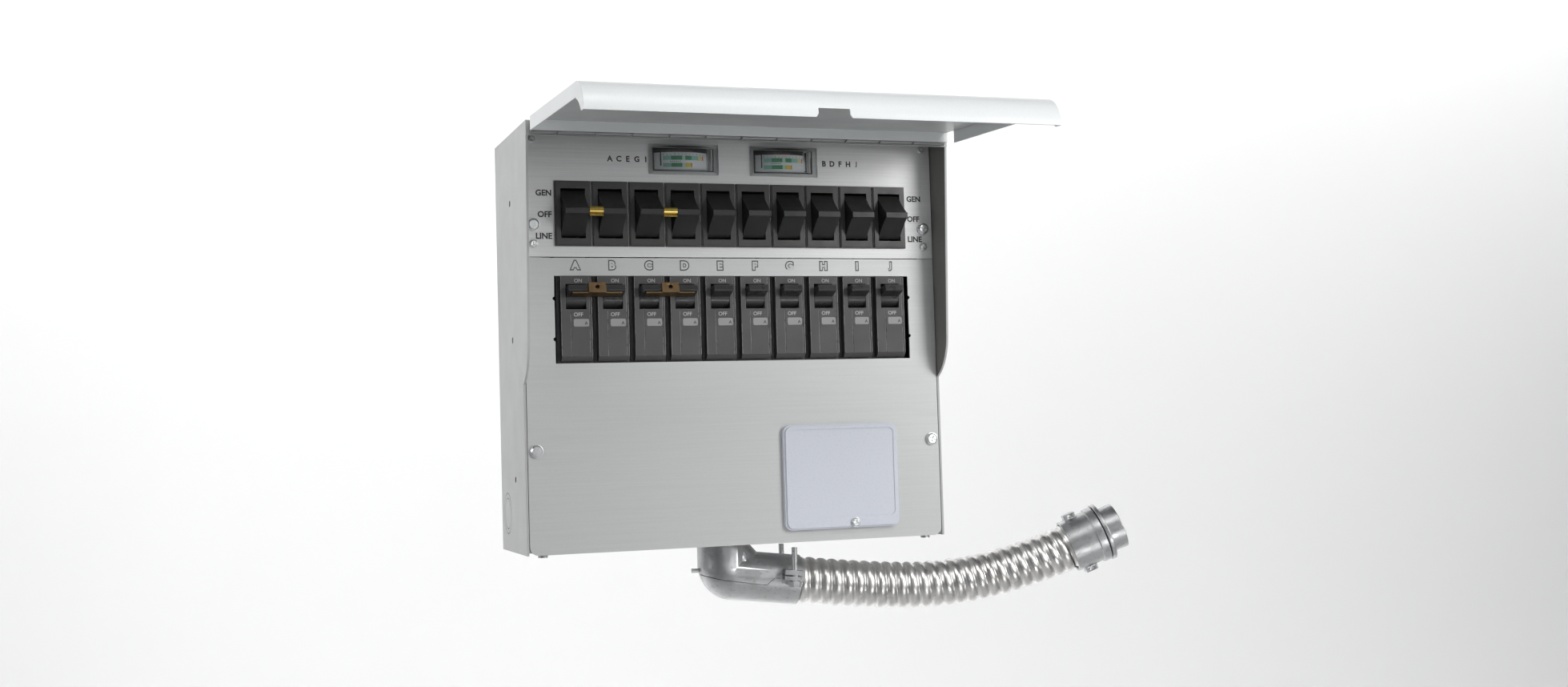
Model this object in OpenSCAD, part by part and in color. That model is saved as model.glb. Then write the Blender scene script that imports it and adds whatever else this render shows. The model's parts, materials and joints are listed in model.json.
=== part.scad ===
// Manual transfer switch: a wall-mounted steel enclosure with ten lever rocker switches,
// ten breakers, two edgewise load meters, a top-hung door and a flexible conduit whip.
// Origin: centre of the wall face. Wall plane Y = 0, the front faces -Y, +Z is up. Millimetres.

/* [Enclosure] */
// Width of the enclosure
box_w = 302; // [296:0.5:312]
// Height of the enclosure
box_h = 286; // [282:0.5:294]
// Depth from the wall face to the front panels
panel_depth = 89; // [86:0.5:92]
// How far the side wings stand forward of the panels at the top
wing = 27; // [26.5:0.1:27.5]
// Sheet thickness of the enclosure
sheet = 1.5; // [1.2:0.1:1.8]

/* [Door] */
// Angle between the shut door and its open rest position
door_open = 88; // [80:0.5:90]
// Sheet thickness of the door
door_sheet = 1.2; // [1:0.1:1.5]
// Depth of the door's side flanges
door_flange = 9.5; // [8.5:0.1:9.8]
// Bend radius of the curved lower lip
lip_r = 19; // [18:0.5:20]
// Distance from hinge pin to the outside of the lip
door_reach = 166.1; // [165.5:0.1:167]

/* [Switches and breakers] */
// Pitch of the rocker switches
rocker_pitch = 25.6; // [25.4:0.1:25.8]
// Pitch of the breakers
breaker_pitch = 25.4; // [25.2:0.1:25.6]
// Travel of a rocker lever each way from the middle
rocker_swing = 14; // [8:1:16]
// Angle of a breaker handle above the horizontal when on
handle_up = 18; // [12:1:20]

/* [Conduit] */
// Outside diameter of the flexible conduit
conduit_d = 33.4; // [33:0.1:33.6]
// Sideways place of the conduit knockout
elbow_x = -2.3; // [-6:0.1:6]
// Turn of the elbow about its neck, towards the front
elbow_yaw = 7; // [0:0.5:10]

/* [Hidden] */
$fn = 48;
letters = "abcdefghij";

// Enclosure planes
side_x = box_w / 2;
top_z = box_h / 2;
panel_y = -panel_depth;
wing_y = panel_y - wing;
wing_low_y = panel_y - 18.5;
wing_low_z = 0.75;
wing_foot_r = 34;
seam_z = 55.6;
drip_h = 10;
panel_side_gap = 0.5;
panel_x = side_x - sheet - panel_side_gap;
panel_t = 1.2;
panel_back_y = panel_y + panel_t;
rail_x = 137;
floor_z = -top_z + 1.7;
foot_screw_x = 139;
foot_screw_y = panel_back_y + 6;
screw_zs = [134.8, 77.4, 64.6];
screw_x = 142;
cover_screw_x = 143.3;
cover_screw_z = -74.1;

// Wall mounting holes
mount_dx = 254;
mount_dz = 228.6;
mount_r = 3.2;

// Knockouts and side holes
knock_y = -22.5;
knock_z = -117;
knock_r = 14.4;
side_hole_y = -54;
side_hole_zs = [95.8, 1.9, -93.1];
elbow_y = -44.5;
neck_hole_r = 17.4;

// Door, drawn shut
hinge_y = wing_y - 2.4;
hinge_z = top_z - 7.8;
face_y = hinge_y - 8.2;
door_top_z = hinge_z - 2.4;
lip_z = hinge_z - door_reach + lip_r;
lip_y = face_y + lip_r;
relief_r = 22;
relief_y = face_y + door_flange + relief_r;
relief_z = lip_z + 5.6;
corner_w = 2;
corner_l = 12;
knuckle_r = 1.9;
pin_r = 1;
pin_fit = 0.05;
knuckle_gap = 0.8;
knuckle_first_x = -131.5;
knuckle_pitch = 25.4;
knuckles = 12;
hinge_end_x = -148.5;
hinge_last_x = knuckle_first_x + (knuckles - 1) * knuckle_pitch - knuckle_gap / 2;

// Breakers
opening_x = 128.8;
opening_top_z = 43.1;
opening_low_z = -15.9;
edge_notch_r = 1.3;
nose_top_z = 42.6;
nose_low_z = -14.4;
nose_chamfer = 3.2;
nose_w = 21.6;
breaker_w = 25;
nose_y = panel_y - 1;
shoulder_y = panel_y + 5;
breaker_back_y = -30;
handle_z = 29;
handle_y = nose_y + 8;
drum_r = 8.3;
handle_w = 13.4;
handle_reach = 17.5;

// Rocker switches
bezel_w = 24.8;
bezel_h = 44.2;
bezel_z = 85.1;
bezel_t = 2.5;
rocker_open_w = 16.8;
rocker_open_h = 33.8;
rocker_w = 16.2;
rocker_y = panel_y + 0.5;
rocker_reach = 17.5;

// Meters
meter_xs = [-36.5, 36.6];
meter_z = 123.5;
meter_w = 50;
meter_h = 20.8;
lens_r = 41.5;
lens_sag = 6;
lens_w = 44;
lens_h = 17;
lens_t = 1.3;
lens_flange_t = 1.6;
meter_axis_y = panel_y - lens_flange_t - lens_sag + lens_r;
case_half_w = 21.6;
case_half_h = 7.8;
scale_r = 36.5;
scale_h = 11.9;
needle_r = 38.4;
needle_rest = -25;

// Lower cover and access cover
inlet_x0 = 29.6;
inlet_x1 = 115;
inlet_z0 = -134.7;
inlet_z1 = -61.7;
inlet_rise = 4.5;
inlet_screw_x = 81;
inlet_screw_z = -130.7;

// Elbow: an upright neck and a barrel that droops a little towards its mouth
droop = 6.5;
bend_r = 7;
bend_z = -159.8;
neck_thread_r = 17;
barrel_l = 47.8;
neck_r = 18.1;
barrel_r = 17.7;
web_r = 17.3;
barrel_in_r = 16.85;
throat_r = 15.2;
throat_z = -170;
neck_in_r = 14.5;
seat_s = 20;
clamp_s = 41.7;
clamp_dy = 22.2;
lug_root_dy = 17.4;
lug_root_half = 0.8;
lug_root_low = -2.4;
web_gap = 0.3;
set_screw_z = -162.6;
barrel_x = bend_r * (1 - sin(droop));
barrel_z = bend_z - bend_r * cos(droop);

// Conduit route, from inside the elbow to inside the end connector
conduit_route = [
    barrel_point(22),
    barrel_point(35),
    barrel_point(barrel_l),
    barrel_point(56),
    [66.4, -53, -174],
    [82, -55.1, -175.8],
    [99, -57.1, -177.5],
    [117, -59.7, -179],
    [134, -63.6, -179.7],
    [151, -67.8, -179.5],
    [168, -71.5, -178.2],
    [185, -75.2, -175.7],
    [202, -79.3, -172],
    [219, -83.9, -167.2],
    [236, -88.9, -161.4],
    [252, -93.9, -155.2],
    [266, -98.4, -149.3]
];
conduit_sides = 12;
nipple_r = 16.6;
nipple_in_r = 13.4;
route_end = conduit_route[len(conduit_route) - 1];
route_before = conduit_route[len(conduit_route) - 2];
end_dir = unit(route_end - route_before);

function unit(v) = v / norm(v);
function letter_x(k, pitch) = (k - 4.5) * pitch;

// A point of the barrel's axis, s beyond the end of the bend.
function barrel_point(s) = [
    elbow_x + (barrel_x + s * cos(droop)) * cos(elbow_yaw),
    elbow_y - (barrel_x + s * cos(droop)) * sin(elbow_yaw),
    barrel_z - s * sin(droop)
];

// A box given by its two corners.
module block(a, b) {
    translate(a) cube(b - a);
}

// A cylinder along X from x0 to x1.
module rod_x(x0, x1, y, z, r) {
    translate([x0, y, z]) rotate([0, 90, 0]) cylinder(h = x1 - x0, r = r);
}

// A cylinder along Y from y0 (front) to y1 (back).
module rod_y(x, y0, y1, z, r) {
    translate([x, y1, z]) rotate([90, 0, 0]) cylinder(h = y1 - y0, r = r);
}

// Extrudes an outline drawn in the Y-Z plane along X.
module along_x(x0, x1) {
    translate([x0, 0, 0]) rotate([90, 0, 90]) linear_extrude(x1 - x0) children();
}

// ---- Enclosure -------------------------------------------------------------------------

module side_outline() {
    translate([panel_y, -top_z]) square([panel_depth, box_h]);
    polygon([
        [wing_y, top_z],
        [wing_low_y, wing_low_z],
        [panel_y + 1, wing_low_z],
        [panel_y + 1, top_z]
    ]);
    // Rounded foot of the wing
    intersection() {
        translate([wing_low_y + wing_foot_r, wing_low_z]) circle(r = wing_foot_r, $fn = 96);
        translate([wing_low_y, wing_low_z - wing_foot_r])
            square([panel_y + 1 - wing_low_y, wing_foot_r + 0.5]);
    }
}

module side_hole_cut(z) {
    rod_x(-side_x - 1, -side_x + 3, side_hole_y, z, 2.2);
}

module knockout_groove(r) {
    rotate([90, 0, 90]) translate([knock_y, knock_z, -side_x - 1]) difference() {
        cylinder(h = 1.7, r = r);
        translate([0, 0, -1]) cylinder(h = 4, r = r - 0.5);
    }
}

module enclosure_shell() {
    color([0.77, 0.77, 0.77]) difference() {
        union() {
            block([-side_x, -sheet, -top_z], [side_x, 0, top_z]);
            along_x(-side_x, -side_x + sheet) side_outline();
            along_x(side_x - sheet, side_x) side_outline();
            block([-side_x, wing_y, top_z - sheet], [side_x, 0, top_z]);
            block([-side_x, wing_y, top_z - drip_h], [side_x, wing_y + sheet, top_z]);
            block([-side_x, panel_back_y + 0.1, floor_z], [side_x, 0, floor_z + sheet]);
            for (s = [-1, 1]) {
                translate([s * (rail_x + 7), 0, 0])
                    block([-7, panel_back_y, floor_z + 0.3], [7, panel_back_y + sheet, top_z - 1]);
            }
        }
        for (x = [-mount_dx / 2, mount_dx / 2], z = [-mount_dz / 2, mount_dz / 2]) {
            rod_y(x, -sheet - 1, 1, z, mount_r);
        }
        translate([elbow_x, elbow_y, -top_z - 1]) cylinder(h = 6, r = neck_hole_r);
        for (z = side_hole_zs) {
            side_hole_cut(z);
        }
        for (r = [knock_r, knock_r * 0.76]) {
            knockout_groove(r);
        }
        for (s = [-1, 1]) {
            for (z = screw_zs) {
                rod_y(s * screw_x, panel_back_y - 2, panel_back_y + 4, z, 1.65);
            }
            rod_y(s * cover_screw_x, panel_back_y - 2, panel_back_y + 4, cover_screw_z, 2.05);
            translate([s * foot_screw_x, foot_screw_y, floor_z - 1]) cylinder(h = 4, r = 1.65);
        }
    }
}

// ---- Front panels ----------------------------------------------------------------------

// Rectangular hole through a panel, given its middle and its half width and height.
module panel_window(x, z, half_w, half_h) {
    block([x - half_w, panel_y - 1, z - half_h], [x + half_w, panel_back_y + 1, z + half_h]);
}

module upper_panel() {
    color([0.72, 0.72, 0.71]) difference() {
        block([-panel_x, panel_y, seam_z + 0.3], [panel_x, panel_back_y, top_z - sheet - 0.3]);
        for (k = [0:9]) {
            x = letter_x(k, rocker_pitch);
            panel_window(x, bezel_z, 10.7, 18.7);
        }
        for (x = meter_xs) {
            panel_window(x, meter_z, case_half_w + 0.3, case_half_h + 0.3);
        }
        for (s = [-1, 1]) {
            for (z = screw_zs) {
                rod_y(s * screw_x, panel_y - 1, panel_back_y + 1, z, 1.85);
            }
        }
    }
}

// Square corner stock outside a rounded lower corner of the cover.
module cover_corner(s) {
    r = 6;
    translate([s * (panel_x - r), 0, -top_z + r]) difference() {
        translate([s * r, 0, -r]) block([-r, panel_y - 1, -r], [r, panel_back_y + 0.5, r]);
        rod_y(0, panel_y - 2, panel_back_y + 1, 0, r);
        block([-2 * r, panel_y - 2, 0], [2 * r, panel_back_y + 1, 3 * r]);
        translate([-s * r, 0, 0]) block([-r, panel_y - 2, -3 * r], [r, panel_back_y + 1, 3 * r]);
    }
}

module lower_cover() {
    bend_y = panel_back_y + 12;
    inlet_mid_x = (inlet_x0 + inlet_x1) / 2;
    inlet_mid_z = (inlet_z0 + inlet_z1) / 2;
    opening_mid_z = (opening_low_z + opening_top_z) / 2;
    color([0.72, 0.73, 0.72]) difference() {
        union() {
            block([-panel_x, panel_y, -top_z], [panel_x, panel_back_y, seam_z - 0.3]);
            block([-panel_x + 6, panel_y, -top_z], [panel_x - 6, bend_y, -top_z + panel_t]);
        }
        panel_window(0, opening_mid_z, opening_x, (opening_top_z - opening_low_z) / 2);
        panel_window(inlet_mid_x, inlet_mid_z + 4, (inlet_x1 - inlet_x0) / 2 - 5, 27.5);
        for (s = [-1, 1]) {
            cover_corner(s);
            for (z = [27.8, 0.4]) {
                rod_y(s * opening_x, panel_y - 1, panel_back_y + 1, z, edge_notch_r);
            }
            rod_y(s * cover_screw_x, panel_y - 1, panel_back_y + 1, cover_screw_z, 2.3);
            translate([s * foot_screw_x, foot_screw_y, -top_z - 1]) cylinder(h = 2.4, r = 1.9);
        }
        rod_y(inlet_screw_x, panel_y - 1, panel_back_y + 1, inlet_screw_z, 1.6);
    }
}

module inlet_cover() {
    r = 5;
    module plate(inset, y0, y1, foot = 0) {
        x0 = inlet_x0 + inset;
        x1 = inlet_x1 - inset;
        z0 = inlet_z0 + inset + foot;
        z1 = inlet_z1 - inset;
        q = r - inset / 2;
        union() {
            block([x0 + q, y0, z0], [x1 - q, y1, z1]);
            block([x0, y0, z0 + q], [x1, y1, z1 - q]);
            for (x = [x0 + q, x1 - q], z = [z0 + q, z1 - q]) {
                rod_y(x, y0, y1, z, q);
            }
        }
    }
    color([0.78, 0.8, 0.84]) difference() {
        union() {
            plate(0, panel_y - inlet_rise + 1.2, panel_y);
            plate(1.2, panel_y - inlet_rise, panel_y - 1);
        }
        // Shallow dish inside the rim, and the hollow back
        plate(3.2, panel_y - inlet_rise - 1, panel_y - inlet_rise + 0.6, 5);
        block(
            [inlet_x0 + 5, panel_y - inlet_rise + 2.4, inlet_z0 + 13],
            [inlet_x1 - 5, panel_y + 1, inlet_z1 - 5]
        );
        rod_y(inlet_screw_x, panel_y - inlet_rise - 1, panel_y + 1, inlet_screw_z, 1.8);
    }
}

// ---- Door and its hinge ----------------------------------------------------------------

// Swings what is drawn shut to the open rest position.
module swing_open() {
    translate([0, hinge_y, hinge_z]) rotate([-door_open, 0, 0])
        translate([0, -hinge_y, -hinge_z]) children();
}

module lip_quarter(r) {
    intersection() {
        translate([lip_y, lip_z]) circle(r = r, $fn = 96);
        translate([face_y - 1, lip_z - lip_r - 1]) square([lip_r + 1, lip_r + 1]);
    }
}

module door_skin() {
    translate([face_y, lip_z]) square([door_sheet, door_top_z - lip_z]);
    translate([face_y, door_top_z - door_sheet]) square([8, door_sheet]);
    difference() {
        lip_quarter(lip_r);
        translate([lip_y, lip_z]) circle(r = lip_r - door_sheet, $fn = 96);
    }
}

module door_cheek() {
    difference() {
        union() {
            translate([face_y, lip_z]) square([door_flange, door_top_z - lip_z]);
            lip_quarter(lip_r);
        }
        translate([relief_y, relief_z]) circle(r = relief_r, $fn = 96);
    }
}

module door() {
    notch_y = lip_y - 5.5;
    color([0.93, 0.95, 0.95]) swing_open() difference() {
        union() {
            along_x(-side_x, side_x) door_skin();
            along_x(-side_x, -side_x + door_sheet) door_cheek();
            along_x(side_x - door_sheet, side_x) door_cheek();
        }
        // Finger notch in the edge of the lip
        translate([0.5, 0, lip_z - lip_r - 1]) linear_extrude(lip_r - 4) polygon([
            [-10, notch_y],
            [10, notch_y],
            [10, notch_y + 3.4],
            [12.2, lip_y + 1],
            [-12.2, lip_y + 1],
            [-10, notch_y + 3.4]
        ]);
        // Relief where the side flanges end, short of the hinge
        for (s = [-1, 1]) {
            translate([s * side_x, 0, 0]) block(
                [-corner_w, face_y - 1, hinge_z - corner_l],
                [corner_w, hinge_y + 4, door_top_z + 1]
            );
        }
    }
}

function knuckle_gap_x(k) = knuckle_first_x + k * knuckle_pitch;
function knuckle_x0(k) = k == 0 ? hinge_end_x : knuckle_gap_x(k - 1) + knuckle_gap / 2;
function knuckle_x1(k) = knuckle_gap_x(k) - knuckle_gap / 2;

// Knuckles whose number has the given parity, bored for the pin.
module knuckle_row(parity) {
    for (k = [parity:2:knuckles - 1]) {
        rod_x(knuckle_x0(k), knuckle_x1(k), hinge_y, hinge_z, knuckle_r);
    }
}

module knuckle_bore() {
    rod_x(hinge_end_x - 1, hinge_last_x + 1, hinge_y, hinge_z, pin_r + pin_fit);
}

// Room for the other leaf's knuckles.
module knuckle_room(parity) {
    for (k = [parity:2:knuckles - 1]) {
        x0 = knuckle_x0(k) - knuckle_gap;
        rod_x(x0, knuckle_x1(k) + knuckle_gap, hinge_y, hinge_z, knuckle_r + 0.6);
    }
}

// The sheared knuckle ends leave a wedge-shaped gap, widest at the top.
module knuckle_wedges() {
    for (k = [0:knuckles - 2]) {
        translate([knuckle_gap_x(k), hinge_y + 3, hinge_z]) rotate([90, 0, 0]) linear_extrude(7)
            polygon([[-2.6, 2.6], [2.6, 2.6], [0.7, -1.6], [0.1, -1.6]]);
    }
}

module hinge_leaf_fixed() {
    color([0.55, 0.56, 0.56]) difference() {
        union() {
            difference() {
                block([hinge_end_x, wing_y - 1, hinge_z - 0.2], [hinge_last_x, wing_y, top_z - 1]);
                knuckle_room(1);
            }
            knuckle_row(0);
        }
        knuckle_bore();
        knuckle_wedges();
    }
}

module hinge_leaf_door() {
    leaf_z = door_top_z;
    color([0.6, 0.61, 0.61]) difference() {
        swing_open() difference() {
            union() {
                difference() {
                    block([hinge_end_x, face_y + 1.6, leaf_z], [hinge_last_x, hinge_y + 0.2, leaf_z + 1]);
                    knuckle_room(0);
                }
                knuckle_row(1);
            }
            knuckle_bore();
        }
        knuckle_wedges();
    }
}

module hinge_pin() {
    color([0.5, 0.5, 0.5]) rod_x(hinge_end_x, hinge_last_x, hinge_y, hinge_z, pin_r);
}

// ---- Rocker switches -------------------------------------------------------------------

// A block centred on the Y axis, given its half width, half height and depth range.
module upright(half_w, half_h, y0, y1) {
    block([-half_w, y0, -half_h], [half_w, y1, half_h]);
}

module switch_housing(x) {
    translate([x, 0, bezel_z]) difference() {
        union() {
            // Bezel with a stepped front
            upright(bezel_w / 2, bezel_h / 2, panel_y - bezel_t + 0.9, panel_y);
            upright(bezel_w / 2 - 0.8, bezel_h / 2 - 0.8, panel_y - bezel_t, panel_y);
            upright(10.4, 18.4, panel_y - 0.5, panel_y + 34);
        }
        upright(rocker_open_w / 2, rocker_open_h / 2, panel_y - bezel_t - 1, panel_y + 16);
        rod_x(-9.7, 9.7, rocker_y, 0, 1.5 + pin_fit);
    }
}

module switch_housings() {
    color([0.16, 0.16, 0.15]) {
        for (k = [0:9]) {
            switch_housing(letter_x(k, rocker_pitch));
        }
    }
}

module switch_terminals() {
    color([0.75, 0.6, 0.3]) {
        for (k = [0:9], z = [-11, 0, 11]) {
            translate([letter_x(k, rocker_pitch), 0, bezel_z + z])
                upright(3.2, 0.4, panel_y + 34, panel_y + 43);
        }
    }
}

// Side outline of a rocker about its pivot; the lever points forward (-Y).
module rocker_outline() {
    polygon([
        [-1, 15.4],
        [-3, 13.2],
        [-6.5, 9.6],
        [-11, 5.8],
        [-15.2, 2.7],
        [-rocker_reach, 1.8],
        [-rocker_reach, -1.8],
        [-15.2, -2.7],
        [-11, -5.8],
        [-6.5, -9.6],
        [-3, -13.2],
        [-1, -15.4],
        [6, -6],
        [9, -2.5],
        [9, 2.5],
        [6, 6]
    ]);
}

module rocker(k) {
    x = letter_x(k, rocker_pitch);
    color([0.1, 0.1, 0.1]) translate([0, rocker_y, bezel_z]) union() {
        along_x(x - rocker_w / 2, x + rocker_w / 2) rocker_outline();
        rod_x(x - rocker_w / 2 - 1.2, x + rocker_w / 2 + 1.2, 0, 0, 1.5);
    }
}

// Brass sleeve that joins two neighbouring levers at their tips.
module rocker_tie(k) {
    x0 = letter_x(k, rocker_pitch) + rocker_w / 2;
    x1 = letter_x(k + 1, rocker_pitch) - rocker_w / 2;
    y = rocker_y - rocker_reach + 1.6;
    z = bezel_z + 0.8;
    color([0.85, 0.68, 0.2]) union() {
        rod_x(x0, x1, y, z, 2.4);
        block([x0, y + 0.2, z - 4.2], [x1, y + 1.4, z]);
        block([x0, y - 1.5, z - 4.2], [x1, y + 1.4, z - 3]);
    }
}

// ---- Breakers --------------------------------------------------------------------------

module breaker(k) {
    x = letter_x(k, breaker_pitch);
    color([0.27, 0.26, 0.26]) translate([x, 0, 0]) difference() {
        union() {
            block([-breaker_w / 2, shoulder_y, -24], [breaker_w / 2, breaker_back_y, 52]);
            along_x(-nose_w / 2 + 0.4, nose_w / 2) polygon([
                [nose_y, nose_top_z],
                [nose_y, nose_low_z + nose_chamfer],
                [nose_y + nose_chamfer * 0.8, nose_low_z],
                [shoulder_y + 1, nose_low_z],
                [shoulder_y + 1, nose_top_z]
            ]);
        }
        // Handle well: a drum-shaped pocket behind a rectangular slot
        rod_x(-7, 7, handle_y, handle_z, drum_r + 0.5);
        block([-7, nose_y - 1, handle_z - drum_r - 0.3], [7, handle_y, handle_z + drum_r + 0.3]);
        rod_x(-8.4, 8.4, handle_y, handle_z, 1.5 + pin_fit);
        // Sunk rating window and two moulded score lines
        block([-2.1, nose_y - 1, 8.7], [8.7, nose_y + 0.5, 14]);
        block([-3.8, nose_y - 1, opening_low_z], [-3.4, nose_y + 0.35, 19.4]);
        block([9.3, nose_y - 1, opening_low_z], [9.7, nose_y + 0.35, opening_top_z]);
        // Slot that grips the rail, and the wire entry below
        block([-breaker_w, breaker_back_y - 5, 8], [breaker_w, breaker_back_y + 1, 10.3]);
        translate([0, -52, -25]) cylinder(h = 12, r = 3.4);
    }
}

module handle_outline() {
    circle(r = drum_r);
    polygon([
        [0, 4],
        [-drum_r, 2.9],
        [-handle_reach + 0.8, 2.3],
        [-handle_reach, 1.5],
        [-handle_reach, -1.5],
        [-handle_reach + 0.8, -2.3],
        [-drum_r, -2.9],
        [0, -4]
    ]);
}

module handle(k) {
    x = letter_x(k, breaker_pitch);
    color([0.12, 0.12, 0.12]) translate([0, handle_y, handle_z]) rotate([-handle_up, 0, 0]) union() {
        along_x(x - handle_w / 2, x + handle_w / 2) handle_outline();
        rod_x(x - handle_w / 2 - 1.2, x + handle_w / 2 + 1.2, 0, 0, 1.5);
    }
}

// Folded metal clip between two neighbouring breaker handles.
module handle_tie(k) {
    x0 = letter_x(k, breaker_pitch) + handle_w / 2;
    x1 = letter_x(k + 1, breaker_pitch) - handle_w / 2;
    xm = (x0 + x1) / 2;
    tip = -handle_reach;
    lip_in = 11;
    color([0.5, 0.36, 0.2]) translate([0, handle_y, handle_z]) rotate([-handle_up, 0, 0]) difference() {
        union() {
            block([x0, tip - 1, -3.2], [x1, tip + 0.2, 3.2]);
            block([x0, tip - 1, -3.9], [x1, tip + 7, -3.1]);
            block([x0 - lip_in, tip + 0.4, -3.9], [x1 + lip_in, tip + 6, -3]);
            block([x0, tip - 1, 2.6], [x1, tip + 7, 3.4]);
        }
        rod_y(xm, tip - 3, tip + 3, 0.2, 1.5);
    }
}

module breaker_rail() {
    color([0.7, 0.7, 0.68]) union() {
        block([-129, breaker_back_y, -14], [129, breaker_back_y + 1.5, 34]);
        block([-129, breaker_back_y - 4.5, 8.2], [129, breaker_back_y + 1, 10.1]);
        for (x = [-101.6, 0, 101.6]) {
            block([x - 6, breaker_back_y + 1, -10], [x + 6, -sheet, 30]);
        }
    }
}

// ---- Meters ----------------------------------------------------------------------------

module meter_case(x) {
    translate([x, 0, meter_z]) difference() {
        upright(case_half_w, case_half_h, panel_y, panel_y + 40);
        upright(case_half_w - 1, case_half_h - 0.8, panel_y - 2, panel_y + 38.8);
    }
    translate([x, meter_axis_y, meter_z - case_half_h + 0.5])
        cylinder(h = 2 * case_half_h - 1, r = 0.8);
}

module meter_cases() {
    color([0.15, 0.13, 0.12]) {
        for (x = meter_xs) {
            meter_case(x);
        }
    }
}

module meter_scale(x) {
    translate([x, meter_axis_y, meter_z - case_half_h + 0.8]) intersection() {
        difference() {
            cylinder(h = scale_h, r = scale_r + 0.6, $fn = 96);
            translate([0, 0, -1]) cylinder(h = scale_h + 2, r = scale_r, $fn = 96);
        }
        block([-20, -scale_r - 2, 0], [20, -scale_r + 7, scale_h]);
    }
}

module meter_scales() {
    color([0.93, 0.94, 0.95]) {
        for (x = meter_xs) {
            meter_scale(x);
        }
    }
}

// Part of a cylinder about the needle's axis, h high, cut to a given half width.
module lens_bow(r, h, half_w, back_y) {
    intersection() {
        translate([0, meter_axis_y, -h / 2]) cylinder(h = h, r = r, $fn = 128);
        upright(half_w, h, panel_y - 31, back_y);
    }
}

module meter_lens(x) {
    translate([x, 0, meter_z]) difference() {
        union() {
            upright(meter_w / 2, meter_h / 2, panel_y - lens_flange_t, panel_y);
            lens_bow(lens_r, lens_h, lens_w / 2, panel_y - 0.1);
        }
        lens_bow(lens_r - lens_t, lens_h - 2, lens_w / 2 - 1, panel_y + 5);
    }
}

module meter_lenses() {
    color([0.8, 0.86, 0.88, 0.5]) {
        for (x = meter_xs) {
            meter_lens(x);
        }
    }
}

// Pointer: a hub on the post, an arm over the scale and a blade hanging in front of it.
module meter_needle(x) {
    color([0.12, 0.1, 0.09]) translate([x, meter_axis_y, meter_z]) rotate([0, 0, needle_rest]) difference() {
        union() {
            translate([0, 0, 4.6]) cylinder(h = 1.3, r = 2);
            block([-0.5, -needle_r, 4.9], [0.5, 0, 5.6]);
            block([-0.4, -needle_r - 0.6, -4.6], [0.4, -needle_r, 5.6]);
        }
        translate([0, 0, 4]) cylinder(h = 3, r = 0.8 + pin_fit);
    }
}

// ---- Inner bars and screws -------------------------------------------------------------

module terminal_bar(x0, x1, z) {
    difference() {
        union() {
            block([x0, -18, z - 4.5], [x1, -9, z + 4.5]);
            for (x = [x0 + 8, x1 - 8]) {
                block([x - 4, -10, z - 4], [x + 4, -sheet, z + 4]);
            }
        }
        for (x = [x0 + 6:10:x1 - 6]) {
            rod_y(x, -19, -12, z, 2);
        }
    }
}

module terminal_bars() {
    color([0.75, 0.76, 0.77]) union() {
        terminal_bar(-118, -28, -76);
        terminal_bar(34, 114, -100);
    }
}

// Pan head screw pointing back into the panel, with a cross recess.
module pan_screw(x, z, y, head_r, head_t, shank_r, shank_l) {
    translate([x, y, z]) difference() {
        union() {
            rotate([90, 0, 0]) cylinder(h = head_t * 0.6, r = head_r);
            translate([0, -head_t * 0.5, 0]) rotate([90, 0, 0])
                cylinder(h = head_t * 0.5, r1 = head_r, r2 = head_r * 0.7);
            translate([0, shank_l, 0]) rotate([90, 0, 0]) cylinder(h = shank_l + 0.1, r = shank_r);
        }
        for (a = [0, 90]) {
            rotate([0, a + 20, 0]) upright(head_r * 0.55, 0.35, -head_t - 0.1, -head_t + 0.7);
        }
    }
}

module panel_screws() {
    color([0.82, 0.82, 0.8]) {
        for (s = [-1, 1]) {
            pan_screw(s * screw_x, screw_zs[0], panel_y, 2.5, 1.7, 1.6, 6);
            pan_screw(s * screw_x, screw_zs[1], panel_y, 4.2, 2.4, 1.6, 6);
            pan_screw(s * screw_x, screw_zs[2], panel_y, 2.8, 1.8, 1.6, 6);
        }
    }
}

module cover_screws() {
    color([0.8, 0.8, 0.78]) {
        for (s = [-1, 1]) {
            pan_screw(s * cover_screw_x, cover_screw_z, panel_y, 4.4, 2.4, 2, 7);
            translate([s * foot_screw_x, foot_screw_y, -top_z - 1.9]) cylinder(h = 1.9, r = 3.4);
            translate([s * foot_screw_x, foot_screw_y, -top_z - 1]) cylinder(h = 6, r = 1.6);
        }
        pan_screw(inlet_screw_x, inlet_screw_z, panel_y - inlet_rise, 3.3, 1.9, 1.5, 9);
    }
}

// ---- Elbow connector -------------------------------------------------------------------

// Places what is drawn about an upright neck with the barrel along +X.
module elbow_place() {
    translate([elbow_x, elbow_y, 0]) rotate([0, 0, -elbow_yaw]) children();
}

// Places what is drawn about the barrel's axis, from the end of the bend.
module barrel_place() {
    translate([barrel_x, 0, barrel_z]) rotate([0, droop, 0]) children();
}

// The tight bend and the barrel, both of radius r.
module elbow_solid(r) {
    barrel_place() {
        translate([0, 0, bend_r]) rotate([-90, 0, 180]) rotate_extrude(angle = 90, $fn = 96)
            intersection() {
                translate([bend_r, 0]) circle(r = r);
                translate([0, -r - 1]) square([bend_r + r + 1, 2 * r + 2]);
            }
        rod_x(0, barrel_l, 0, 0, r);
    }
}

// Everything below the saddle's upper edge, which dips to a point under the web.
module below_saddle_edge(gap) {
    translate([0, 30, 0]) rotate([90, 0, 0]) linear_extrude(60) polygon([
        [-40, -159.4 - gap],
        [-4, -168.5 - gap],
        [28, -173.6 - gap],
        [33.8, -168.8 - gap],
        [70, -172.9 - gap],
        [70, -200],
        [-40, -200]
    ]);
}

module below_body_edge() {
    block([-40, -30, -200], [70, 30, -165.2]);
}

module clamp_lug(t0, t1) {
    for (s = [-1, 1]) {
        barrel_place() translate([0, s * (clamp_dy - 2), 0])
            block([clamp_s - 8.2, -4.8, t0], [barrel_l, 4.8, t1]);
    }
}

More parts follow.
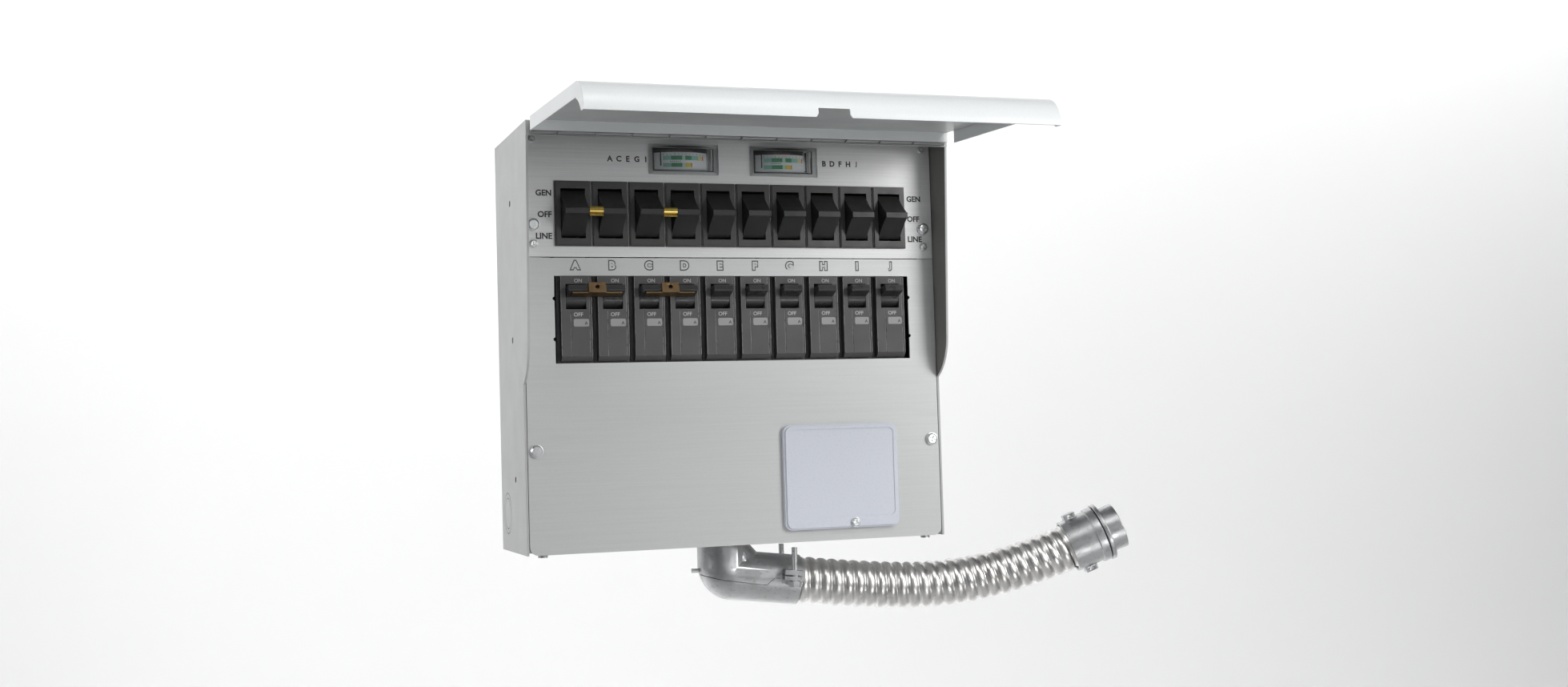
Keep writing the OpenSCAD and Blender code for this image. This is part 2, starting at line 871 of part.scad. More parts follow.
// Root that carries each saddle lug down the side of the barrel.
module lug_root(t1) {
    for (s = [-1, 1]) {
        barrel_place() translate([0, s * lug_root_dy, 0])
            block([clamp_s - 8.2, -lug_root_half, lug_root_low], [barrel_l, lug_root_half, t1]);
    }
}

// Upright cylinders on the two clamp screws' axes, from z0 to z1.
module clamp_rods(r, z0, z1, sides = 48) {
    for (s = [-1, 1]) {
        translate([barrel_x + clamp_s * cos(droop), s * clamp_dy, z0])
            cylinder(h = z1 - z0, r = r, $fn = sides);
    }
}

// Hollow for the wires up to the bend, then the seat for the conduit.
module elbow_bore() {
    translate([0, 0, throat_z]) cylinder(h = 50, r = neck_in_r);
    barrel_place() {
        rod_x(0, seat_s + 1, 0, 0, throat_r);
        rod_x(seat_s, barrel_l + 20, 0, 0, barrel_in_r);
    }
}

module elbow_body() {
    color([0.62, 0.62, 0.62]) elbow_place() difference() {
        union() {
            difference() {
                union() {
                    elbow_solid(barrel_r);
                    // Fillet between the neck and the top of the barrel
                    translate([3, 0, -147.3]) rotate([0, 139.7, 0]) cylinder(h = 26, r = 14);
                }
                below_body_edge();
            }
            difference() {
                elbow_solid(web_r);
                below_saddle_edge(0);
            }
            translate([0, 0, bend_z - 1]) cylinder(h = floor_z - bend_z + 1, r = neck_r);
            translate([0, 0, floor_z - 2]) cylinder(h = 10, r = neck_thread_r);
            clamp_lug(4.3, 7.7);
        }
        elbow_bore();
        clamp_rods(2.1, -185, -150);
        rod_x(-26, -10, 0, set_screw_z, 1.65);
    }
}

module elbow_saddle() {
    color([0.7, 0.7, 0.7]) elbow_place() difference() {
        union() {
            intersection() {
                elbow_solid(barrel_r);
                below_saddle_edge(web_gap);
            }
            // The lugs stand clear of the body's web
            difference() {
                union() {
                    clamp_lug(0.6, 3.3);
                    lug_root(3.3);
                }
                difference() {
                    elbow_solid(web_r + web_gap);
                    below_saddle_edge(web_gap);
                }
            }
        }
        elbow_bore();
        clamp_rods(2.1, -185, -150);
    }
}

module elbow_screws() {
    color([0.78, 0.78, 0.8]) elbow_place() {
        clamp_rods(2, -173, -147.6);
        clamp_rods(4.3, -175.4, -171.4, 6);
        rod_x(-22.8, -14.8, 0, set_screw_z, 1.6);
    }
}

module elbow_locknut() {
    tabs = 8;
    color([0.72, 0.72, 0.72]) translate([elbow_x, elbow_y, floor_z + sheet]) difference() {
        cylinder(h = 2.6, r = 22.5);
        translate([0, 0, -1]) cylinder(h = 5, r = neck_thread_r + pin_fit);
        for (i = [0:tabs - 1]) {
            rotate([0, 0, i * 360 / tabs]) translate([24, 0, -1]) cylinder(h = 5, r = 3.6);
        }
    }
}

// ---- Conduit whip ----------------------------------------------------------------------

// Ring of points about a route point, square to the direction of travel.
function route_dir(p, i) = unit(p[min(i + 1, len(p) - 1)] - p[max(i - 1, 0)]);
function ring(c, d, r, n) =
    let (side = unit(cross(d, [0, 0, 1])), up = cross(side, d))
    [for (a = [0:n - 1]) c + r * (cos(360 * a / n) * side + sin(360 * a / n) * up)];

module tube_along(p, r, n) {
    m = len(p);
    points = [for (i = [0:m - 1]) each ring(p[i], route_dir(p, i), r, n)];
    wall = [
        for (i = [0:m - 2], a = [0:n - 1])
            [i * n + a, i * n + (a + 1) % n, (i + 1) * n + (a + 1) % n, (i + 1) * n + a]
    ];
    first = [for (a = [0:n - 1]) n - 1 - a];
    last = [for (a = [0:n - 1]) (m - 1) * n + a];
    polyhedron(points = points, faces = concat(wall, [first, last]), convexity = 4);
}

module flexible_conduit() {
    color([0.66, 0.66, 0.66]) tube_along(conduit_route, conduit_d / 2, conduit_sides);
}

// Straight connector on the far end: clamp sleeve, shoulder, locknut and threaded nipple.
module whip_connector() {
    yaw = atan2(end_dir[1], end_dir[0]);
    pitch = acos(end_dir[2]);
    color([0.68, 0.68, 0.68]) translate(route_end) rotate([0, pitch, yaw]) difference() {
        union() {
            translate([0, 0, -20]) cylinder(h = 21, r = 19.2);
            cylinder(h = 6, r = 20.4);
            translate([0, 0, 5]) cylinder(h = 16, r = nipple_r);
            translate([0, 0, 6.6]) cylinder(h = 3, r = 21.4);
            translate([-22.5, -5, -15]) cube([45, 10, 9]);
        }
        translate([0, 0, -21]) cylinder(h = 21, r = conduit_d / 2 + 0.6);
        translate([0, 0, -1]) cylinder(h = 30, r = nipple_in_r);
        for (s = [-1, 1]) {
            translate([s * 20.6, 6, -10.5]) rotate([90, 0, 0]) cylinder(h = 12, r = 1.3);
        }
    }
}

// Ten leads from the switches' lower terminals to a loom that leaves through the neck.
module wire_harness() {
    loom_y = -20;
    loom_z = -44;
    lead_z = bezel_z - 11;
    lead_end_y = panel_y + 43;
    color([0.1, 0.1, 0.1]) union() {
        for (k = [0:9]) {
            x = letter_x(k, rocker_pitch);
            translate([x, loom_y, loom_z]) cylinder(h = lead_z - loom_z, r = 1.7);
            rod_y(x, lead_end_y, loom_y, lead_z, 1.7);
        }
        rod_x(-118, 118, loom_y, loom_z, 5);
        rod_y(elbow_x, elbow_y, loom_y, loom_z, 9);
        translate([elbow_x, elbow_y, -150]) cylinder(h = 150 + loom_z, r = 9);
    }
}

// ---- Nodes -----------------------------------------------------------------------------

enclosure_shell();
upper_panel();
lower_cover();
door();
hinge_leaf_fixed();
hinge_leaf_door();
hinge_pin();
inlet_cover();
meter_cases();
meter_scales();
meter_lenses();
meter_needle(meter_xs[0]);  // meter_needle_left
meter_needle(meter_xs[1]);  // meter_needle_right
for (k = [0:9]) {
    rocker(k);
    breaker(k);
    handle(k);
}
rocker_tie(0);  // rocker_tie_ab
rocker_tie(2);  // rocker_tie_cd
switch_housings();
switch_terminals();
handle_tie(0);  // handle_tie_ab
handle_tie(2);  // handle_tie_cd
breaker_rail();
terminal_bars();
panel_screws();
cover_screws();
elbow_body();
elbow_saddle();
elbow_screws();
elbow_locknut();
flexible_conduit();
whip_connector();
wire_harness();
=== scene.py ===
import json
import math
import random

import bmesh
import bpy
from mathutils import Matrix, Vector

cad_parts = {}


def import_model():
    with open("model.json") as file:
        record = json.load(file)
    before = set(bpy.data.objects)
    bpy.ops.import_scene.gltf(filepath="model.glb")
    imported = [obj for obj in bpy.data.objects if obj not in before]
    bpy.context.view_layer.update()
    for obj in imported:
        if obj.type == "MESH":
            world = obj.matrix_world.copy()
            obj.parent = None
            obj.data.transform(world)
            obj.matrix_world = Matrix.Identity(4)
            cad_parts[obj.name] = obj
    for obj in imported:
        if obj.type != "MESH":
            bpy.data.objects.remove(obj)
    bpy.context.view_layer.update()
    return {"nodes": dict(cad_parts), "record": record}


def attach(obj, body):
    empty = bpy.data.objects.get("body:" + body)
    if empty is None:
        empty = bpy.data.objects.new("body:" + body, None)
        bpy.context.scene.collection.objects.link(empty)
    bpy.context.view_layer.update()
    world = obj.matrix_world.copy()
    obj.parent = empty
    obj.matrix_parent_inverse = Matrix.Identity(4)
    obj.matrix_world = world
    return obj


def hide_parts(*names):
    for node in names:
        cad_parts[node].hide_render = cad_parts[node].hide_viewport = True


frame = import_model()
NODES = frame["nodes"]
MM = 0.001
LETTERS = "ABCDEFGHIJ"

# ---- Camera --------------------------------------------------------------------------------

CAMERA_AT = (-0.36843, -1.22592, -0.06458)
CAMERA_RIGHT = (0.94295881, -0.33156471, -0.02989202)
CAMERA_DOWN = (-0.01158179, 0.05706324, -0.99830339)
CAMERA_AHEAD = (0.33270791, 0.94170517, 0.04996817)

camera_data = bpy.data.cameras.new("camera")
camera_data.sensor_fit = "HORIZONTAL"
camera_data.sensor_width = 36
camera_data.lens = 39.595
camera_data.clip_start = 0.05
camera_data.clip_end = 30
camera = bpy.data.objects.new("camera", camera_data)
bpy.context.scene.collection.objects.link(camera)
turn = Matrix((CAMERA_RIGHT, [-v for v in CAMERA_DOWN], [-v for v in CAMERA_AHEAD])).transposed()
camera.matrix_world = Matrix.Translation(CAMERA_AT) @ turn.to_4x4()
bpy.context.scene.camera = camera

# ---- Node helpers --------------------------------------------------------------------------


class Shader:
    """A Principled material with object-space coordinates and short calls for its nodes."""

    def __init__(self, name, color, rough, metal=0.0, **sockets):
        self.mat = bpy.data.materials.new(name)
        self.mat.use_nodes = True
        self.tree = self.mat.node_tree
        self.bsdf = self.tree.nodes["Principled BSDF"]
        self.base = (*color, 1)
        self.rough = rough
        self.bsdf.inputs["Base Color"].default_value = self.base
        self.bsdf.inputs["Roughness"].default_value = rough
        self.bsdf.inputs["Metallic"].default_value = metal
        for key, value in sockets.items():
            self.bsdf.inputs[key.replace("_", " ")].default_value = value
        self.coord = self.tree.nodes.new("ShaderNodeTexCoord").outputs["Object"]
        self.color = None
        self.normal = None

    def node(self, kind, **inputs):
        n = self.tree.nodes.new("ShaderNode" + kind)
        for key, value in inputs.items():
            self.plug(n.inputs[key.replace("_", " ")], value)
        return n

    def plug(self, socket, value):
        if isinstance(value, bpy.types.NodeSocket):
            self.tree.links.new(value, socket)
        else:
            socket.default_value = value

    def stretched(self, scale):
        n = self.node("Mapping", Vector=self.coord)
        n.inputs["Scale"].default_value = scale
        return n.outputs[0]

    def noise(self, scale, detail=3.0, rough=0.55, stretch=None):
        at = self.stretched(stretch) if stretch else self.coord
        n = self.node("TexNoise", Vector=at, Scale=scale, Detail=detail, Roughness=rough)
        return n.outputs[0]

    def ramp(self, value, low, high, to_low=0.0, to_high=1.0):
        n = self.node("MapRange", Value=value)
        n.inputs["From Min"].default_value = low
        n.inputs["From Max"].default_value = high
        n.inputs["To Min"].default_value = to_low
        n.inputs["To Max"].default_value = to_high
        return n.outputs[0]

    def math(self, kind, a, b=0.0):
        n = self.tree.nodes.new("ShaderNodeMath")
        n.operation = kind
        self.plug(n.inputs[0], a)
        self.plug(n.inputs[1], b)
        return n.outputs[0]

    def axis(self, index, source=None):
        n = self.node("SeparateXYZ", Vector=source or self.coord)
        return n.outputs[index]

    def tint(self, factor, color):
        """Mixes color in over what is there, by factor."""
        n = self.tree.nodes.new("ShaderNodeMix")
        n.data_type = "RGBA"
        self.plug(n.inputs[0], factor)
        self.plug(n.inputs[6], self.color or self.base)
        self.plug(n.inputs[7], (*color, 1))
        self.color = n.outputs[2]
        self.tree.links.new(self.color, self.bsdf.inputs["Base Color"])
        return self

    def roughness(self, value, low, high, to_low, to_high):
        out = self.ramp(value, low, high, to_low, to_high)
        self.tree.links.new(out, self.bsdf.inputs["Roughness"])
        return self

    def bump(self, height, strength, distance):
        n = self.node("Bump", Height=height, Strength=strength, Distance=distance)
        if self.normal:
            self.tree.links.new(self.normal, n.inputs["Normal"])
        self.normal = n.outputs[0]
        self.tree.links.new(self.normal, self.bsdf.inputs["Normal"])
        return self

    def edges(self, radius, low=0.75, high=0.98):
        """1 on convex and concave edges, 0 on flats."""
        soft = self.node("Bevel", Radius=radius).outputs[0]
        hard = self.tree.nodes.new("ShaderNodeNewGeometry").outputs["Normal"]
        n = self.tree.nodes.new("ShaderNodeVectorMath")
        n.operation = "DOT_PRODUCT"
        self.tree.links.new(soft, n.inputs[0])
        self.tree.links.new(hard, n.inputs[1])
        return self.ramp(n.outputs["Value"], low, high, 1, 0)


def darker(color, k):
    return tuple(v * k for v in color)


# ---- Materials -----------------------------------------------------------------------------

GREY = (0.460, 0.465, 0.465)


def paint(name, color, rough=0.38, grain=2600, wear=None):
    s = Shader(name, color, rough, Coat_Weight=0.15, Coat_Roughness=0.3)
    s.tint(s.ramp(s.noise(9, 4), 0.35, 0.7, 0, 0.35), darker(color, 0.93))
    s.tint(s.ramp(s.noise(1400, 2), 0.45, 0.62, 0, 0.22), darker(color, 0.86))
    s.roughness(s.noise(40, 4), 0.3, 0.7, rough - 0.05, rough + 0.08)
    s.bump(s.noise(grain, 2), 0.12, 0.00012)
    s.bump(s.noise(210, 2), 0.10, 0.00025)
    return s


def enclosure_paint():
    s = paint("enclosure_paint", GREY)
    # Painted shade: the inner face of the right wing is tinted near black
    geometry = s.tree.nodes.new("ShaderNodeNewGeometry")
    facing = s.ramp(s.axis(0, geometry.outputs["Normal"]), -0.9, -0.5, 1, 0)
    right = s.math("GREATER_THAN", s.axis(0), 0.14)
    front = s.math("LESS_THAN", s.axis(1), -0.0885)
    wing_shade_mask = s.math("MULTIPLY", s.math("MULTIPLY", facing, right), front)
    s.tint(s.math("MULTIPLY", wing_shade_mask, 0.85), (0.085, 0.083, 0.07))
    return s.mat


def brushed(name, color, rough, streak=0.16, metal=0.35):
    s = Shader(name, color, rough, metal)
    fine = s.noise(1, 5, 0.7, (30, 30, 5200))
    wide = s.noise(1, 3, 0.6, (9, 9, 700))
    s.tint(s.ramp(wide, 0.35, 0.65, 0, streak), darker(color, 0.72))
    s.tint(s.ramp(fine, 0.42, 0.66, 0, streak), darker(color, 0.66))
    s.tint(s.ramp(s.noise(1600, 2), 0.5, 0.64, 0, 0.16), darker(color, 0.8))
    s.roughness(fine, 0.3, 0.7, rough - 0.06, rough + 0.1)
    s.bump(fine, 0.08, 0.00008)
    return s


def door_paint():
    outside = (0.86, 0.885, 0.885)
    s = paint("door_paint", outside, 0.34)
    # Painted shade: faces pointing down in the open pose, the door's underside, are tinted grey
    coords = s.tree.nodes.new("ShaderNodeTexCoord")
    inner = s.ramp(s.axis(2, coords.outputs["Normal"]), -0.9, -0.6, 1, 0)
    s.tint(s.math("MULTIPLY", inner, 0.9), (0.42, 0.43, 0.435))
    return s.mat


def plastic(name, color, rough, grain=1800, bump=0.25, dust=0.12):
    s = Shader(name, color, rough)
    light = tuple(v + 0.05 for v in color)
    s.tint(s.ramp(s.noise(30, 4), 0.4, 0.75, 0, dust), light)
    s.tint(s.ramp(s.noise(700, 3), 0.5, 0.7, 0, 0.3), darker(color, 0.8))
    s.roughness(s.noise(90, 3), 0.3, 0.7, rough - 0.07, rough + 0.1)
    s.bump(s.noise(grain, 3), bump, 0.00006)
    return s


def metal(name, color, rough, spread=0.12, grain=900, bump=0.15, stain=0.3, stained=0.6):
    s = Shader(name, color, rough, 1.0)
    s.tint(s.ramp(s.noise(60, 5, 0.65), 0.42, 0.75, 0, stain), darker(color, stained))
    s.tint(s.ramp(s.noise(900, 3), 0.52, 0.72, 0, stain * 0.7), darker(color, 0.7))
    s.roughness(s.noise(150, 4), 0.3, 0.7, max(rough - spread, 0.03), rough + spread)
    s.bump(s.noise(grain, 3), bump, 0.00008)
    return s


def breaker_plastic():
    base = (0.075, 0.073, 0.075)
    s = plastic("breaker_plastic", base, 0.52, 1500, 0.3)
    # Painted highlight and wear: edges, broken up by noise, are tinted pale
    edge_wear_and_sheen = s.math("MULTIPLY", s.edges(0.0005), s.ramp(s.noise(260, 4, 0.7), 0.38, 0.62))
    s.tint(s.math("MULTIPLY", edge_wear_and_sheen, 0.6), (0.42, 0.42, 0.41))
    return s.mat


def cast_zinc():
    s = metal("cast_zinc", (0.56, 0.565, 0.57), 0.38, 0.08, 500, 0.25, 0.35, 0.55)
    s.tint(s.ramp(s.noise(320, 4, 0.7), 0.56, 0.66, 0, 0.35), (0.2, 0.19, 0.18))
    s.bump(s.noise(120, 4), 0.12, 0.0003)
    return s.mat


def strip_steel():
    s = metal("strip_steel", (0.72, 0.71, 0.695), 0.34, 0.08, 1400, 0.1, 0.35, 0.62)
    s.tint(s.ramp(s.noise(180, 5, 0.7), 0.55, 0.68, 0, 0.4), (0.34, 0.32, 0.3))
    s.tint(s.ramp(s.noise(45, 3, 0.6), 0.6, 0.74, 0, 0.3), (0.5, 0.42, 0.36))
    return s.mat


def clear_plastic():
    """Thin clear moulding: light passes straight through, edges and highlights show."""
    s = Shader("clear_plastic", (0.9, 0.92, 0.92), 0.06)
    tree = s.tree
    rim = s.ramp(s.node("LayerWeight", Blend=0.35).outputs["Facing"], 0.55, 1, 0, 0.75)
    haze = s.ramp(s.noise(70, 4), 0.4, 0.8, 0, 0.1)
    shade = tree.nodes.new("ShaderNodeMix")
    shade.data_type = "RGBA"
    s.plug(shade.inputs[0], s.math("ADD", rim, haze))
    s.plug(shade.inputs[6], (0.96, 0.97, 0.97, 1))
    s.plug(shade.inputs[7], (0.5, 0.49, 0.48, 1))
    clear = s.node("BsdfTransparent", Color=shade.outputs[2])
    gloss = s.node("BsdfGlossy", Color=(1, 1, 1, 1), Roughness=s.ramp(s.noise(90, 3), 0.3, 0.7, 0.03, 0.09))
    mix = s.node("MixShader")
    s.plug(mix.inputs[0], s.ramp(s.node("Fresnel", IOR=1.5).outputs[0], 0, 1, 0.02, 1))
    s.plug(mix.inputs[1], clear.outputs[0])
    s.plug(mix.inputs[2], gloss.outputs[0])
    tree.links.new(mix.outputs[0], tree.nodes["Material Output"].inputs["Surface"])
    tree.nodes.remove(s.bsdf)
    return s.mat


def ink(name, color, rough=0.5):
    s = Shader(name, color, rough)
    s.tint(s.ramp(s.noise(1500, 3), 0.5, 0.72, 0, 0.35), tuple(0.7 * v + 0.1 for v in color))
    s.bump(s.noise(2500, 2), 0.1, 0.00003)
    return s.mat


MAT = {
    "grey_paint": enclosure_paint(),
    "brushed_panel": brushed("brushed_panel", (0.74, 0.742, 0.74), 0.42, 0.26, 0.2).mat,
    "satin_cover": brushed("satin_cover", (0.55, 0.56, 0.555), 0.42, 0.14, 0.3).mat,
    "door_paint": door_paint(),
    "hinge_steel": brushed("hinge_steel", (0.29, 0.294, 0.297), 0.4, 0.2, 0.6).mat,
    "inlet_plastic": plastic("inlet_plastic", (0.64, 0.665, 0.73), 0.45, 1500, 0.2, 0.1).mat,
    "meter_black": plastic("meter_black", (0.035, 0.03, 0.028), 0.5).mat,
    "scale_white": ink("scale_white", (0.95, 0.96, 0.98), 0.45),
    "clear_lens": clear_plastic(),
    "needle_dark": ink("needle_dark", (0.06, 0.045, 0.035), 0.4),
    "brass": metal("polished_brass", (0.83, 0.60, 0.16), 0.14, 0.05, 900, 0.05, 0.2, 0.6).mat,
    "switch_black": plastic("switch_black", (0.015, 0.015, 0.0145), 0.42, 1500, 0.35).mat,
    "terminal_brass": metal("terminal_brass", (0.72, 0.55, 0.24), 0.3).mat,
    "breaker_grey": breaker_plastic(),
    "tie_bronze": metal("tie_bronze", (0.30, 0.20, 0.105), 0.38, 0.08, 700, 0.2, 0.35, 0.5).mat,
    "handle_black": plastic("handle_black", (0.03, 0.03, 0.031), 0.3, 900, 0.15).mat,
    "bar_alloy": metal("bar_alloy", (0.72, 0.73, 0.74), 0.32).mat,
    "zinc_screw": metal("zinc_screw", (0.78, 0.80, 0.80), 0.32, 0.07, 900, 0.12, 0.3, 0.5).mat,
    "die_cast": cast_zinc(),
    "conduit_steel": strip_steel(),
    "wire_black": plastic("wire_black", (0.03, 0.03, 0.03), 0.4).mat,
}
BEZEL = plastic("bezel_charcoal", (0.036, 0.036, 0.034), 0.4, 1500, 0.35).mat
DARK_INK = ink("dark_ink", (0.03, 0.032, 0.035))
OUTLINE_INK = ink("outline_ink", (0.075, 0.075, 0.07))
PALE_INK = ink("pale_ink", (0.46, 0.46, 0.45))
WHITE_INK = ink("white_ink", (0.62, 0.63, 0.63))
# Pale breaker edge strips: part wear, part painted highlight
WEAR_AND_HIGHLIGHT_INK = ink("worn_edge_and_highlight", (0.30, 0.30, 0.295))
WINDOW = ink("window_grey", (0.33, 0.33, 0.325))
# Painted reflection: pale band on the meter scales
TEAL = ink("scale_teal", (0.30, 0.68, 0.56))
SCALE_REFLECTION_INK = ink("scale_painted_reflection", (0.55, 0.80, 0.62))
GREEN = ink("scale_green", (0.015, 0.32, 0.13))
YELLOW = ink("scale_yellow", (0.80, 0.66, 0.05))
CREAM = ink("scale_cream", (0.85, 0.78, 0.35))
RED = ink("scale_red", (0.72, 0.07, 0.05))
WINDING = metal("coil_copper", (0.28, 0.13, 0.07), 0.4, 0.1, 900, 0.3).mat

SLOT = {s["node"]: s["material_slot"] for s in frame["record"]["subparts"]}

# ---- Mesh helpers --------------------------------------------------------------------------


def add(name, verts, faces, body, mat, smooth=False):
    mesh = bpy.data.meshes.new(name)
    mesh.from_pydata([tuple(v) for v in verts], [], faces)
    return finish_mesh(name, mesh, body, mat, smooth)


def finish_mesh(name, mesh, body, mat, smooth=False):
    bm = bmesh.new()
    bm.from_mesh(mesh)
    bmesh.ops.remove_doubles(bm, verts=bm.verts, dist=1e-7)
    bmesh.ops.recalc_face_normals(bm, faces=bm.faces)
    bm.to_mesh(mesh)
    bm.free()
    for p in mesh.polygons:
        p.use_smooth = smooth
    mesh.materials.append(mat)
    piece = bpy.data.objects.new(name, mesh)
    bpy.context.scene.collection.objects.link(piece)
    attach(piece, body)
    return piece


def soften(piece, width, segments=2, angle=32):
    """Welds the mesh and rounds its edges that are sharper than angle."""
    weld = piece.modifiers.new("weld", "WELD")
    weld.merge_threshold = 1e-6
    bevel = piece.modifiers.new("bevel", "BEVEL")
    bevel.width = width
    bevel.segments = segments
    bevel.limit_method = "ANGLE"
    bevel.angle_limit = math.radians(angle)
    bevel.harden_normals = False
    bevel.miter_outer = "MITER_ARC"
    weighted = piece.modifiers.new("normals", "WEIGHTED_NORMAL")
    weighted.keep_sharp = False
    weighted.weight = 80
    return piece


class Parts:
    """Gathers simple closed shapes into one mesh."""

    def __init__(self):
        self.verts = []
        self.faces = []

    def put(self, verts, faces):
        n = len(self.verts)
        self.verts += [Vector(v) for v in verts]
        self.faces += [[i + n for i in f] for f in faces]

    def box(self, lo, hi):
        v = [(x, y, z) for x in (lo[0], hi[0]) for y in (lo[1], hi[1]) for z in (lo[2], hi[2])]
        quads = [(0, 1, 3, 2), (4, 6, 7, 5), (0, 4, 5, 1), (2, 3, 7, 6), (0, 2, 6, 4), (1, 5, 7, 3)]
        self.put(v, quads)

    def slab(self, outline, y0, y1):
        """An outline in X and Z, given depth along Y."""
        n = len(outline)
        v = [(x, y0, z) for x, z in outline] + [(x, y1, z) for x, z in outline]
        f = [list(range(n)), list(range(2 * n - 1, n - 1, -1))]
        f += [(i, i + n, (i + 1) % n + n, (i + 1) % n) for i in range(n)]
        self.put(v, f)

    def mesh(self, matrix_mesh, place):
        verts = [place @ v.co for v in matrix_mesh.vertices]
        self.put(verts, [list(p.vertices) for p in matrix_mesh.polygons])

    def rings(self, rings, closed=True):
        """Skins a list of equal rings of points and caps both ends."""
        n = len(rings[0])
        v = [p for r in rings for p in r]
        f = []
        for i in range(len(rings) - 1):
            for a in range(n):
                b = (a + 1) % n
                f.append((i * n + a, i * n + b, (i + 1) * n + b, (i + 1) * n + a))
        if closed:
            f.append(list(range(n - 1, -1, -1)))
            f.append([(len(rings) - 1) * n + a for a in range(n)])
        self.put(v, f)

    def lathe(self, profile, place, sides=32):
        """Turns (radius, height) pairs about the local Z of place."""
        self.rings([
            [place @ Vector((r * math.cos(2 * math.pi * a / sides), r * math.sin(2 * math.pi * a / sides), h))
             for a in range(sides)]
            for r, h in profile
        ])

    def make(self, name, body, mat, smooth=False):
        return add(name, self.verts, self.faces, body, mat, smooth)


def rounded_outline(x0, z0, x1, z1, r, steps=6):
    out = []
    corners = (
        (x1 - r, z1 - r, 0), (x0 + r, z1 - r, 90),
        (x0 + r, z0 + r, 180), (x1 - r, z0 + r, 270),
    )
    for cx, cz, start in corners:
        for i in range(steps + 1):
            a = math.radians(start + 90 * i / steps)
            out.append((cx + r * math.cos(a), cz + r * math.sin(a)))
    return out


def text_mesh(text, cap, bold=0.0, depth=0.00008, spacing=1.0):
    """A mesh of text in the XY plane, its capitals cap high, centred on the origin."""
    curve = bpy.data.curves.new("text", "FONT")
    curve.body = text
    curve.size = 1
    curve.offset = bold
    curve.extrude = depth / cap * 0.7
    curve.space_character = spacing
    curve.resolution_u = 4
    holder = bpy.data.objects.new("text", curve)
    bpy.context.scene.collection.objects.link(holder)
    graph = bpy.context.evaluated_depsgraph_get()
    mesh = bpy.data.meshes.new_from_object(holder.evaluated_get(graph))
    bpy.data.objects.remove(holder)
    xs = [v.co.x for v in mesh.vertices]
    ys = [v.co.y for v in mesh.vertices]
    k = cap / (max(ys) - min(ys))
    mid = Vector(((max(xs) + min(xs)) / 2, (max(ys) + min(ys)) / 2, 0))
    for v in mesh.vertices:
        v.co = (v.co - mid) * k
    mesh["width"] = (max(xs) - min(xs)) * k
    return mesh


def on_front(x, y, z):
    """Places the XY plane upright, facing -Y, at that point."""
    return Matrix.Translation((x, y, z)) @ Matrix.Rotation(math.pi / 2, 4, "X")


# ---- Conduit -------------------------------------------------------------------------------

ELBOW_AT = (-2.3, -44.5)
ELBOW_YAW, DROOP = math.radians(7), math.radians(6.5)
BARREL_X = 7 * (1 - math.sin(DROOP))
BARREL_Z = -159.8 - 7 * math.cos(DROOP)


def barrel_point(s):
    """A point of the elbow barrel's axis, s beyond the end of the bend, in millimetres."""
    out = BARREL_X + s * math.cos(DROOP)
    return (
        ELBOW_AT[0] + out * math.cos(ELBOW_YAW),
        ELBOW_AT[1] - out * math.sin(ELBOW_YAW),
        BARREL_Z - s * math.sin(DROOP),
    )


ROUTE = [
    barrel_point(22), barrel_point(35), barrel_point(47.8), barrel_point(56),
    (66.4, -53, -174), (82, -55.1, -175.8), (99, -57.1, -177.5), (117, -59.7, -179),
    (134, -63.6, -179.7), (151, -67.8, -179.5), (168, -71.5, -178.2), (185, -75.2, -175.7),
    (202, -79.3, -172), (219, -83.9, -167.2), (236, -88.9, -161.4), (252, -93.9, -155.2),
    (266, -98.4, -149.3),
]
ROUTE = [Vector(p) * MM for p in ROUTE]
CONDUIT_R = 16.7 * MM
RIB_PITCH = 8.2 * MM
# Depth below the crown of the strip along one turn
RIB_PROFILE = [
    (0, 1.75), (0.05, 1.5), (0.1, 0.95), (0.18, 0.42), (0.3, 0.08), (0.42, 0), (0.55, 0.09),
    (0.68, 0.4), (0.79, 0.85), (0.86, 1.25), (0.9, 1.7), (0.95, 1.85), (1, 1.75),
]


def spline(points, step):
    """Catmull-Rom line through points, resampled every step."""
    dense = []
    ends = [points[0] * 2 - points[1]] + points + [points[-1] * 2 - points[-2]]
    for i in range(1, len(ends) - 2):
        a, b, c, d = ends[i - 1:i + 3]
        for k in range(24):
            t = k / 24
            dense.append(0.5 * (
                2 * b + (c - a) * t + (2 * a - 5 * b + 4 * c - d) * t * t
                + (3 * b - 3 * c + d - a) * t ** 3
            ))
    dense.append(points[-1])
    out = [dense[0]]
    left = step
    for a, b in zip(dense, dense[1:]):
        span = (b - a).length
        at = left
        while at <= span:
            out.append(a.lerp(b, at / span))
            at += step
        left = at - span
    return out


def rib_depth(turns):
    u = turns % 1
    for (u0, d0), (u1, d1) in zip(RIB_PROFILE, RIB_PROFILE[1:]):
        if u <= u1:
            t = (u - u0) / (u1 - u0)
            return (d0 + (d1 - d0) * t) * MM
    return RIB_PROFILE[-1][1] * MM


def make_conduit():
    rng = random.Random(7)
    step = RIB_PITCH / 14
    line = spline(ROUTE, step)
    sides = 72
    parts = Parts()
    rings = []
    tilt = [rng.uniform(-0.15, 0.15) * MM for _ in range(80)]
    for i, p in enumerate(line):
        ahead = (line[min(i + 1, len(line) - 1)] - line[max(i - 1, 0)]).normalized()
        side = ahead.cross(Vector((0, 0, 1))).normalized()
        up = side.cross(ahead)
        ring = []
        for a in range(sides):
            angle = 2 * math.pi * a / sides
            turns = (i * step + tilt[int(i * step / RIB_PITCH)] * 0.3) / RIB_PITCH + a / sides
            r = CONDUIT_R - rib_depth(turns)
            ring.append(p + r * (math.cos(angle) * side + math.sin(angle) * up))
        rings.append(ring)
    parts.rings(rings)
    piece = parts.make("conduit_ribbed", "enclosure", MAT["conduit_steel"], True)
    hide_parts("flexible_conduit")
    return piece


make_conduit()

# ---- CAD nodes -----------------------------------------------------------------------------

